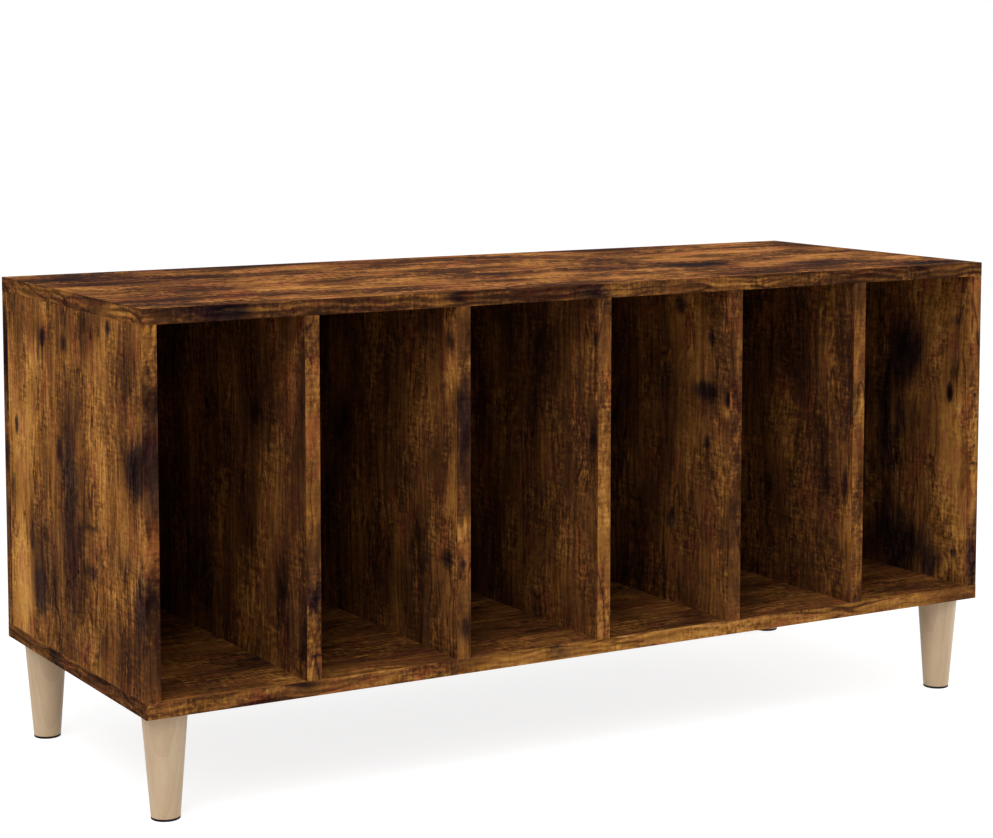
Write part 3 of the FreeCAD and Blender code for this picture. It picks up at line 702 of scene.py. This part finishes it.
def oak_material(name, grain_turn, part_of_sheet, marks, tone=0.0, lines=0.6, warmth=0.3, figure=1.0,
                 round_the_edge=False):
    """The print of a board or of its bands, with its marks, a few of which are painted shade.

    part_of_sheet is where this piece of the printed sheet was cut, and round_the_edge is for bands that go
    round a flat board.
    """
    material, nodes, shader = new_material(name)
    place = object_place(nodes)
    run = edge_run(nodes, place) if round_the_edge else place
    mapping = {"Vector": run, "Rotation": grain_turn, "Location": part_of_sheet}
    sheet = nodes.add("ShaderNodeMapping", mapping).outputs[0]
    shift = nodes.push(sheet, TORN_STEPS, TORN_REACH[grain_turn], roughness=0.6)
    bulge = nodes.push(sheet, BULGE_STEPS, BULGE_REACH)
    wobble = nodes.push(sheet, WOBBLE_STEPS, WOBBLE_REACH, detail=3, roughness=0.6)
    torn = nodes.vector("ADD", nodes.vector("ADD", place, shift), bulge)
    uneven = nodes.vector("ADD", place, wobble)
    # Honey and soot marks carry the print's tone and soot, and in places painted shade.
    toned_and_shaded = marked(nodes, PRINT_MARK, torn, marks, "honey", tone)
    smoked_and_shaded = marked(nodes, PRINT_MARK, torn, marks, "soot_and_shade", 0.0)
    spotted = marked(nodes, PRINT_MARK, uneven, marks, "spot", smoked_and_shaded)
    knotted = marked(nodes, KNOT, uneven, marks, "knot", spotted)
    printed = {"Place": sheet, "Tone": toned_and_shaded, "Soot and shade": knotted, "Lines": lines, "Warmth": warmth,
               "Figure": figure}
    oak = nodes.add("ShaderNodeGroup", printed, node_tree=OAK_PRINT).outputs
    finish_surface(nodes, shader, oak["Color"], oak["Roughness"], oak["Height"], PRINT_BUMP_STRENGTH,
                   PRINT_BUMP_DEPTH)
    shader.inputs["Specular IOR Level"].default_value = PRINT_SPECULAR
    return material


def paint(node, material):
    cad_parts[node].material_slots[0].material = material


# Where on the printed sheet each piece of print was cut, in metres. The uprights share one piece with the
# cover caps, so that these blend in.
UPRIGHTS_SHEET = (1.3, 2.0, 0.0)
UPRIGHT_BANDS_SHEET = (9.1, 5.0, 0.0)
TOP_SHEET = (3.7, 11.0, 0.0)
TOP_BANDS_SHEET = (6.2, 12.0, 0.0)
BOTTOM_SHEET = (8.4, 13.0, 0.0)
BOTTOM_BANDS_SHEET = (1.9, 14.0, 0.0)
BACK_SHEET = (5.5, 15.0, 0.0)
BACK_BANDS_SHEET = (7.7, 16.0, 0.0)

SIDE_TONE = 0.0
# The dividers are darker than the sides: partly their print, partly painted shade of the slots' contents.
DIVIDER_TONE_AND_SHADE = -0.11
UPRIGHT_LINES = 0.2


def dress_uprights():
    for upright, marks in UPRIGHT_MARKS.items():
        divider = upright.startswith("divider")
        board = upright if divider else upright + "_panel"
        low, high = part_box(upright + "_edge_band")
        face = mark_places(marks, low, BACK_AND_UP)
        if upright == "right_side":
            face += mark_places(RIGHT_OUTER_MARKS, (cad_high.x, low.y, low.z), BACK_AND_UP)
        tone = DIVIDER_TONE_AND_SHADE if divider else SIDE_TONE
        paint(board, oak_material(upright + "_print", UPWARDS, UPRIGHTS_SHEET, face, tone, UPRIGHT_LINES))
        middle = ((low.x + high.x) / 2, low.y, low.z)
        edge = mark_places(BAND_MARKS[upright], middle, RIGHT_AND_UP)
        band_print = oak_material(upright + "_band_print", UPWARDS, UPRIGHT_BANDS_SHEET, edge)
        paint(upright + "_edge_band", band_print)
    paint("cam_cover_caps", oak_material("cap_print", UPWARDS, UPRIGHTS_SHEET, [], lines=UPRIGHT_LINES))


def band_marks(front_marks, end_marks, underside):
    """The marks on a flat board's front band and on its left end band."""
    front = mark_places(front_marks, (0.0, cad_low.y, underside), RIGHT_AND_UP)
    return front + mark_places(end_marks, (cad_low.x, cad_low.y, underside), BACK_AND_UP)


def dress_top():
    low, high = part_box("top_panel")
    face = mark_places(TOP_MARKS, (0.0, cad_low.y, high.z), RIGHT_AND_BACK)
    edge = band_marks(TOP_BAND_MARKS, TOP_END_MARKS, low.z)
    paint("top_panel", oak_material("top_print_and_shade", LENGTHWISE, TOP_SHEET, face, tone=-0.06, warmth=0.8,
                                    figure=2.0))
    paint("top_edge_bands", oak_material("top_band_print", LENGTHWISE, TOP_BANDS_SHEET, edge, tone=-0.20,
                                         lines=0.8, warmth=0.2, round_the_edge=True))


def dress_bottom():
    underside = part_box("bottom_panel")[0].z
    edge = band_marks(BOTTOM_BAND_MARKS, BOTTOM_END_MARKS, underside)
    # The bottom board's darker tone is painted shade: it darkens the slots' floors as their contents would
    # shade them.
    paint("bottom_panel", oak_material("bottom_print_and_shade", LENGTHWISE, BOTTOM_SHEET, [], tone=-0.06))
    paint("bottom_edge_bands", oak_material("bottom_band_print", LENGTHWISE, BOTTOM_BANDS_SHEET, edge,
                                            lines=0.5, warmth=0.2, round_the_edge=True))


def dress_back():
    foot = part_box("back_panel")[0].z
    rear = mark_places(BACK_MARKS, (0.0, cad_high.y, foot), RIGHT_AND_UP)
    edge = mark_places(BACK_BAND_MARKS, (cad_low.x, cad_low.y, foot), BACK_AND_UP)
    paint("back_panel", oak_material("back_print", LENGTHWISE, BACK_SHEET, rear))
    paint("back_edge_bands", oak_material("back_band_print", UPWARDS, BACK_BANDS_SHEET, edge, tone=-0.1))


# The legs' pine. The trunk's heart lies beside the leg and leans a little, and each leg has its own turn,
# so that no two show the same rings. The lean and the turns are in radians.
LEG_HEART_PLACE = (50 * MILLIMETRE, 16 * MILLIMETRE, 0.0)
LEG_HEART_LEAN = (0.03, 0.05)
LEG_HEART_TURNS = {"front_left": 2.4, "front_right": 3.0, "rear_left": 1.9, "rear_right": 0.8}
LEG_RINGS = {"Scale": 62.0, "Distortion": 2.2, "Detail": 2.0, "Detail Scale": 0.5}
LEG_FIBRE_STEPS = (1500, 1500, 60)
LEG_STAIN_STEPS = (45, 45, 14)
LEG_PLAIN_TONE = 0.5
LEG_RING_SWING = 0.24
LEG_FIBRE_SWING = 0.4
LEG_STAIN_SWING = 1.1
LEG_COLOURS = [
    (0.0, (0.47, 0.318, 0.183)),
    (0.5, (0.60, 0.428, 0.263)),
    (1.0, (0.70, 0.534, 0.362)),
]
LEG_ROUGHNESS = 0.48
LEG_FIBRE_ROUGHNESS = 0.2
LEG_RING_HEIGHT = 0.3
LEG_BUMP_STRENGTH = 0.15
LEG_BUMP_DEPTH = 0.4 * MILLIMETRE


def leg_material(leg, heart_turn):
    """Pale pine turned from a plank: faint rings cut along the trunk."""
    material, nodes, shader = new_material(leg + "_pine")
    low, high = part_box(leg)
    middle = (low + high) / 2
    centred = {"Vector": object_place(nodes), "Location": -middle}
    axis = nodes.add("ShaderNodeMapping", centred).outputs[0]
    turned = {"Vector": axis, "Location": LEG_HEART_PLACE, "Rotation": (*LEG_HEART_LEAN, heart_turn)}
    trunk = {"Vector": nodes.add("ShaderNodeMapping", turned).outputs[0], **LEG_RINGS}
    ring = nodes.add("ShaderNodeTexWave", trunk, wave_type="RINGS", rings_direction="Z",
                     wave_profile="SAW").outputs["Fac"]
    fibre = nodes.noise(axis, LEG_FIBRE_STEPS)
    stain = nodes.noise(axis, LEG_STAIN_STEPS, detail=3, roughness=0.55)
    tone = nodes.sum(LEG_PLAIN_TONE, nodes.swing(ring, LEG_RING_SWING), nodes.swing(fibre, LEG_FIBRE_SWING),
                     nodes.swing(stain, LEG_STAIN_SWING))
    roughness = nodes.sum(LEG_ROUGHNESS, nodes.swing(fibre, LEG_FIBRE_ROUGHNESS))
    height = nodes.sum(fibre, nodes.times(ring, LEG_RING_HEIGHT))
    finish_surface(nodes, shader, nodes.ramp(tone, LEG_COLOURS), roughness, height, LEG_BUMP_STRENGTH,
                   LEG_BUMP_DEPTH)
    return material


GLIDE_GRIT_STEPS = (2200, 2200, 2200)
GLIDE_COLOURS = [(0.3, (0.006, 0.006, 0.007)), (0.7, (0.016, 0.016, 0.017))]
GLIDE_ROUGHNESS = 0.5
GLIDE_GRIT_ROUGHNESS = 0.3
GLIDE_SPECULAR = 0.1
GLIDE_BUMP_STRENGTH = 0.2
GLIDE_BUMP_DEPTH = 0.3 * MILLIMETRE


def glide_material():
    material, nodes, shader = new_material("glide_black_plastic")
    grit = nodes.noise(object_place(nodes), GLIDE_GRIT_STEPS, detail=3, roughness=0.6)
    roughness = nodes.sum(GLIDE_ROUGHNESS, nodes.swing(grit, GLIDE_GRIT_ROUGHNESS))
    finish_surface(nodes, shader, nodes.ramp(grit, GLIDE_COLOURS), roughness, grit, GLIDE_BUMP_STRENGTH,
                   GLIDE_BUMP_DEPTH)
    shader.inputs["Specular IOR Level"].default_value = GLIDE_SPECULAR
    return material


METAL_CLOUD_STEPS = (260, 260, 260)
METAL_SCRATCH_STEPS = (2600, 2600, 300)
METAL_CLOUD_ROUGHNESS = 0.2
METAL_SCRATCH_ROUGHNESS = 0.2
METAL_BUMP_STRENGTH = 0.1
METAL_BUMP_DEPTH = 0.2 * MILLIMETRE
STEEL_COLOURS = [(0.3, (0.42, 0.41, 0.38)), (0.7, (0.62, 0.61, 0.57))]
STEEL_ROUGHNESS = 0.32
ZINC_COLOURS = [(0.3, (0.32, 0.32, 0.33)), (0.7, (0.50, 0.50, 0.51))]
ZINC_ROUGHNESS = 0.42


def metal_material(name, colours, mean_roughness):
    material, nodes, shader = new_material(name)
    place = object_place(nodes)
    cloud = nodes.noise(place, METAL_CLOUD_STEPS, detail=3, roughness=0.6)
    scratch = nodes.noise(place, METAL_SCRATCH_STEPS)
    roughness = nodes.sum(mean_roughness, nodes.swing(cloud, METAL_CLOUD_ROUGHNESS),
                          nodes.swing(scratch, METAL_SCRATCH_ROUGHNESS))
    finish_surface(nodes, shader, nodes.ramp(cloud, colours), roughness, scratch, METAL_BUMP_STRENGTH,
                   METAL_BUMP_DEPTH)
    shader.inputs["Metallic"].default_value = 1.0
    return material


DOWEL_FIBRE_STEPS = (1400, 1400, 90)
DOWEL_COLOURS = [(0.25, (0.42, 0.25, 0.12)), (0.75, (0.62, 0.43, 0.25))]
DOWEL_ROUGHNESS = 0.6
DOWEL_FIBRE_ROUGHNESS = 0.2
DOWEL_BUMP_STRENGTH = 0.2
DOWEL_BUMP_DEPTH = 0.4 * MILLIMETRE


def dowel_material():
    material, nodes, shader = new_material("dowel_beech")
    fibre = nodes.noise(object_place(nodes), DOWEL_FIBRE_STEPS, detail=3, roughness=0.6)
    roughness = nodes.sum(DOWEL_ROUGHNESS, nodes.swing(fibre, DOWEL_FIBRE_ROUGHNESS))
    finish_surface(nodes, shader, nodes.ramp(fibre, DOWEL_COLOURS), roughness, fibre, DOWEL_BUMP_STRENGTH,
                   DOWEL_BUMP_DEPTH)
    return material


STEEL_FITTINGS = ["glide_nails", "leg_hanger_bolts", "leg_insert_nuts", "cam_bolts", "bottom_screws",
                  "back_screws"]


def dress_legs_and_fittings():
    plastic = glide_material()
    for corner, heart_turn in LEG_HEART_TURNS.items():
        paint("leg_" + corner, leg_material("leg_" + corner, heart_turn))
        paint("glide_" + corner, plastic)
    steel = metal_material("fitting_plated_steel", STEEL_COLOURS, STEEL_ROUGHNESS)
    for fitting in STEEL_FITTINGS:
        paint(fitting, steel)
    paint("cam_locks", metal_material("cam_zinc", ZINC_COLOURS, ZINC_ROUGHNESS))
    beech = dowel_material()
    paint("top_dowels", beech)
    paint("bottom_dowels", beech)


# The floor, in metres. The eye sees a grey, which takes the shadow, with a glow that lifts it to white, and
# the cabinet gets the light of a plain pale floor. The sky has one level for the light and one for the eye.
FLOOR_HALF = 90.0
FLOOR_SHADE = 0.40
FLOOR_GLOW = 0.82
FLOOR_BOUNCE = 0.8
SKY_LIGHT = 0.55
SKY_SEEN = 1.0

# The two softboxes, in metres. Both are aimed at one place inside the case.
KEY_PLACE = (-2.2, -1.7, 2.9)
KEY_WATTS = 70.0
KEY_SIZE = 2.4
FILL_PLACE = (2.6, -0.3, 0.8)
FILL_WATTS = 26.0
FILL_SIZE = 1.5
LIT_PLACE = (0.0, 0.0, 0.3)


def grey(level):
    return (level, level, level, 1.0)


def seen_ray(nodes):
    """One for a ray that the eye, a mirror or a glass sends, and nothing for the light's own rays."""
    rays = nodes.add("ShaderNodeLightPath", {}).outputs
    eye_or_mirror = nodes.sum(rays["Is Camera Ray"], rays["Is Glossy Ray"])
    return nodes.maths("ADD", eye_or_mirror, rays["Is Transmission Ray"], use_clamp=True)


def studio_floor():
    """A pale floor, white where it is open, with the cabinet's soft shadow."""
    bpy.ops.object.select_all(action="DESELECT")
    bpy.ops.mesh.primitive_plane_add(size=2 * FLOOR_HALF, location=(0.0, 0.0, cad_low.z))
    floor = bpy.context.object
    floor.name = "studio_floor"
    material, nodes, shader = new_material("studio_floor_white")
    material.node_tree.nodes.remove(shader)
    shown = nodes.add("ShaderNodeBsdfDiffuse", {"Color": grey(FLOOR_SHADE)}).outputs[0]
    glow = nodes.add("ShaderNodeEmission", {"Strength": FLOOR_GLOW}).outputs[0]
    lit = nodes.add("ShaderNodeAddShader", {0: shown, 1: glow}).outputs[0]
    bounce = nodes.add("ShaderNodeBsdfDiffuse", {"Color": grey(FLOOR_BOUNCE)}).outputs[0]
    both = nodes.add("ShaderNodeMixShader", {0: seen_ray(nodes), 1: bounce, 2: lit}).outputs[0]
    nodes.tree.links.new(both, material.node_tree.nodes["Material Output"].inputs["Surface"])
    floor.data.materials.append(material)


def softbox(name, place, watts, size):
    lamp = bpy.data.lights.new(name, "AREA")
    lamp.energy = watts
    lamp.size = size
    box = bpy.data.objects.new(name, lamp)
    bpy.context.scene.collection.objects.link(box)
    box.location = place
    aim = Vector(LIT_PLACE) - Vector(place)
    box.rotation_euler = aim.to_track_quat("-Z", "Y").to_euler()


def studio_light():
    world = bpy.data.worlds.new("studio_white")
    bpy.context.scene.world = world
    world.use_nodes = True
    nodes = Nodes(world.node_tree)
    background = world.node_tree.nodes["Background"]
    background.inputs["Color"].default_value = grey(1.0)
    level = nodes.fade(seen_ray(nodes), 0.0, 1.0, low=SKY_LIGHT, high=SKY_SEEN)
    nodes.tree.links.new(level, background.inputs["Strength"])
    softbox("key_softbox", KEY_PLACE, KEY_WATTS, KEY_SIZE)
    softbox("fill_softbox", FILL_PLACE, FILL_WATTS, FILL_SIZE)


def photo_camera():
    lens = bpy.data.cameras.new("photo_camera")
    camera = bpy.data.objects.new("photo_camera", lens)
    bpy.context.scene.collection.objects.link(camera)
    camera.location = CAMERA_PLACE
    tilt = QUARTER_TURN - math.radians(CAMERA_DIP_DEGREES)
    camera.rotation_euler = (tilt, 0.0, -math.radians(CAMERA_TURN_DEGREES))
    lens.sensor_width = CAMERA_SENSOR_WIDTH
    lens.lens = CAMERA_FOCUS_PIXELS / PHOTO_WIDTH_PIXELS * CAMERA_SENSOR_WIDTH
    lens.shift_y = CAMERA_SHIFT
    bpy.context.scene.camera = camera


bpy.context.scene.view_settings.view_transform = "Standard"
dress_uprights()
dress_top()
dress_bottom()
dress_back()
dress_legs_and_fittings()
studio_floor()
studio_light()
photo_camera()
